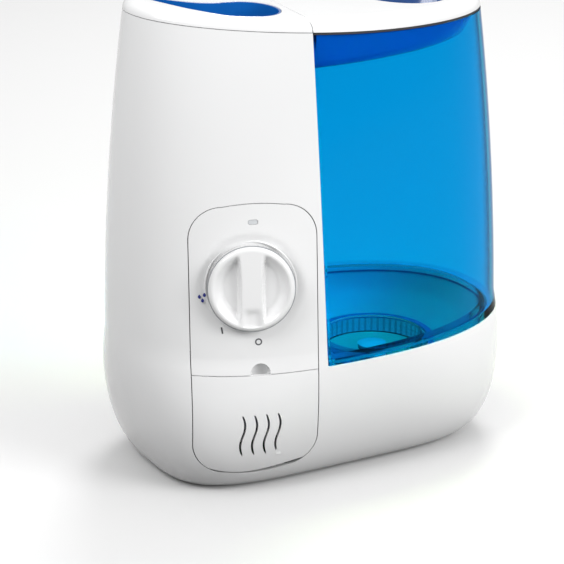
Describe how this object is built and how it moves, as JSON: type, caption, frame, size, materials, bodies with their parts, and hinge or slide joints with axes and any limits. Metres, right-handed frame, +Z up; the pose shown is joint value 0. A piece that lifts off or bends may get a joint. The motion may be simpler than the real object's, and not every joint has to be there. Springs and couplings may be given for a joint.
{
  "type": "cool mist humidifier",
  "caption": "Tabletop ultrasonic humidifier: white control tower and base, lift-off translucent blue water tank, rotary knob, tilt-out scent door and lift-out mist outlet.",
  "frame": {"origin": "on the floor under the middle of the plan outline", "axes": "+Z up, -Y towards the front with the knob, +X towards the tank"},
  "size_m": [0.2652, 0.1686, 0.3045],
  "materials": {
    "white_gloss": "polished moulded plastic",
    "inner_white": "satin moulded plastic",
    "tank_blue": "clear tinted, polished",
    "deep_blue": "polished",
    "black_rubber": "matte",
    "grey_plastic": "satin",
    "steel": "zinc plated",
    "aluminium": "plain",
    "brass": "plain",
    "board_green": "lacquered circuit board",
    "felt": "pressed fibre",
    "smoke_lens": "clear grey"
  },
  "bodies": {
    "root": {"main_housing": "white_gloss", "bottom_plate": "inner_white", "foot_1": "black_rubber", "foot_2": "black_rubber", "foot_3": "black_rubber", "foot_4": "black_rubber", "plate_screw_1": "steel", "plate_screw_2": "steel", "plate_screw_3": "steel", "plate_screw_4": "steel", "basin_tray": "inner_white", "basin_gasket": "black_rubber", "transducer_disc": "brass", "transducer_seal": "black_rubber", "transducer_retainer": "aluminium", "retainer_screw_1": "steel", "retainer_screw_2": "steel", "driver_board": "board_green", "heat_sink": "aluminium", "power_board": "board_green", "transformer": "steel", "rotary_switch": "grey_plastic", "control_panel": "white_gloss", "indicator_lens": "smoke_lens", "knob_bezel": "white_gloss", "mist_chimney": "inner_white", "air_duct": "inner_white", "fan_frame": "grey_plastic", "fan_motor": "steel", "fan_screw_1": "steel", "fan_screw_2": "steel", "intake_grille": "white_gloss", "power_inlet": "black_rubber", "float_guide": "inner_white", "reed_switch": "smoke_lens", "scent_pad_holder": "inner_white", "scent_pad": "felt", "tower_lid": "white_gloss", "door_hinge_rod": "steel", "door_hinge_bracket_1": "inner_white", "door_hinge_bracket_2": "inner_white"},
    "dial": {"knob": "white_gloss", "knob_shaft": "grey_plastic"},
    "door": {"front_door": "white_gloss"},
    "impeller": {"fan_impeller": "grey_plastic"},
    "float": {"water_float": "inner_white", "float_magnet": "steel"},
    "outlet": {"mist_outlet": "deep_blue"},
    "tank": {"tank_shell": "tank_blue", "grip_well": "deep_blue", "tank_lid": "white_gloss", "lid_gasket": "black_rubber"},
    "cap": {"tank_cap": "tank_blue", "cap_gasket": "black_rubber", "valve_spring": "steel"},
    "valve": {"valve_plunger": "inner_white", "valve_washer": "black_rubber"}
  },
  "joints": [
    {"name": "dial_turn", "type": "hinge", "parent": "root", "child": "dial", "pos_m": [-0.0734, -0.0673, 0.1384], "axis": [0.4049, 0.9093, -0.0958], "range_deg": [0, 90]},
    {"name": "door_tilt", "type": "hinge", "parent": "root", "child": "door", "pos_m": [-0.06916, -0.05829, 0.0146], "axis": [0.9659, -0.2588, 0], "range_deg": [0, 35]},
    {"name": "fan_spin", "type": "hinge", "parent": "root", "child": "impeller", "pos_m": [-0.076, 0.044, 0.112], "axis": [0, 1, 0], "continuous": true},
    {"name": "float_rise", "type": "slide", "parent": "root", "child": "float", "axis": [0, 0, 1], "range_m": [0, 0.012]},
    {"name": "outlet_lift", "type": "slide", "parent": "root", "child": "outlet", "axis": [0, 0, 1], "range_m": [0, 0.03]},
    {"name": "tank_lift", "type": "slide", "parent": "root", "child": "tank", "axis": [0, 0, 1], "range_m": [0, 0.27]},
    {"name": "cap_turn", "type": "hinge", "parent": "tank", "child": "cap", "pos_m": [0.052, 0, 0.046], "axis": [0, 0, -1], "range_deg": [0, 90]},
    {"name": "valve_drop", "type": "slide", "parent": "cap", "child": "valve", "axis": [0, 0, -1], "range_m": [0, 0.003], "deforming": ["valve_spring"]}
  ],
  "couplings": [
    {"joint": "valve_drop", "follows": "tank_lift", "ratio": 0.0111}
  ]
}
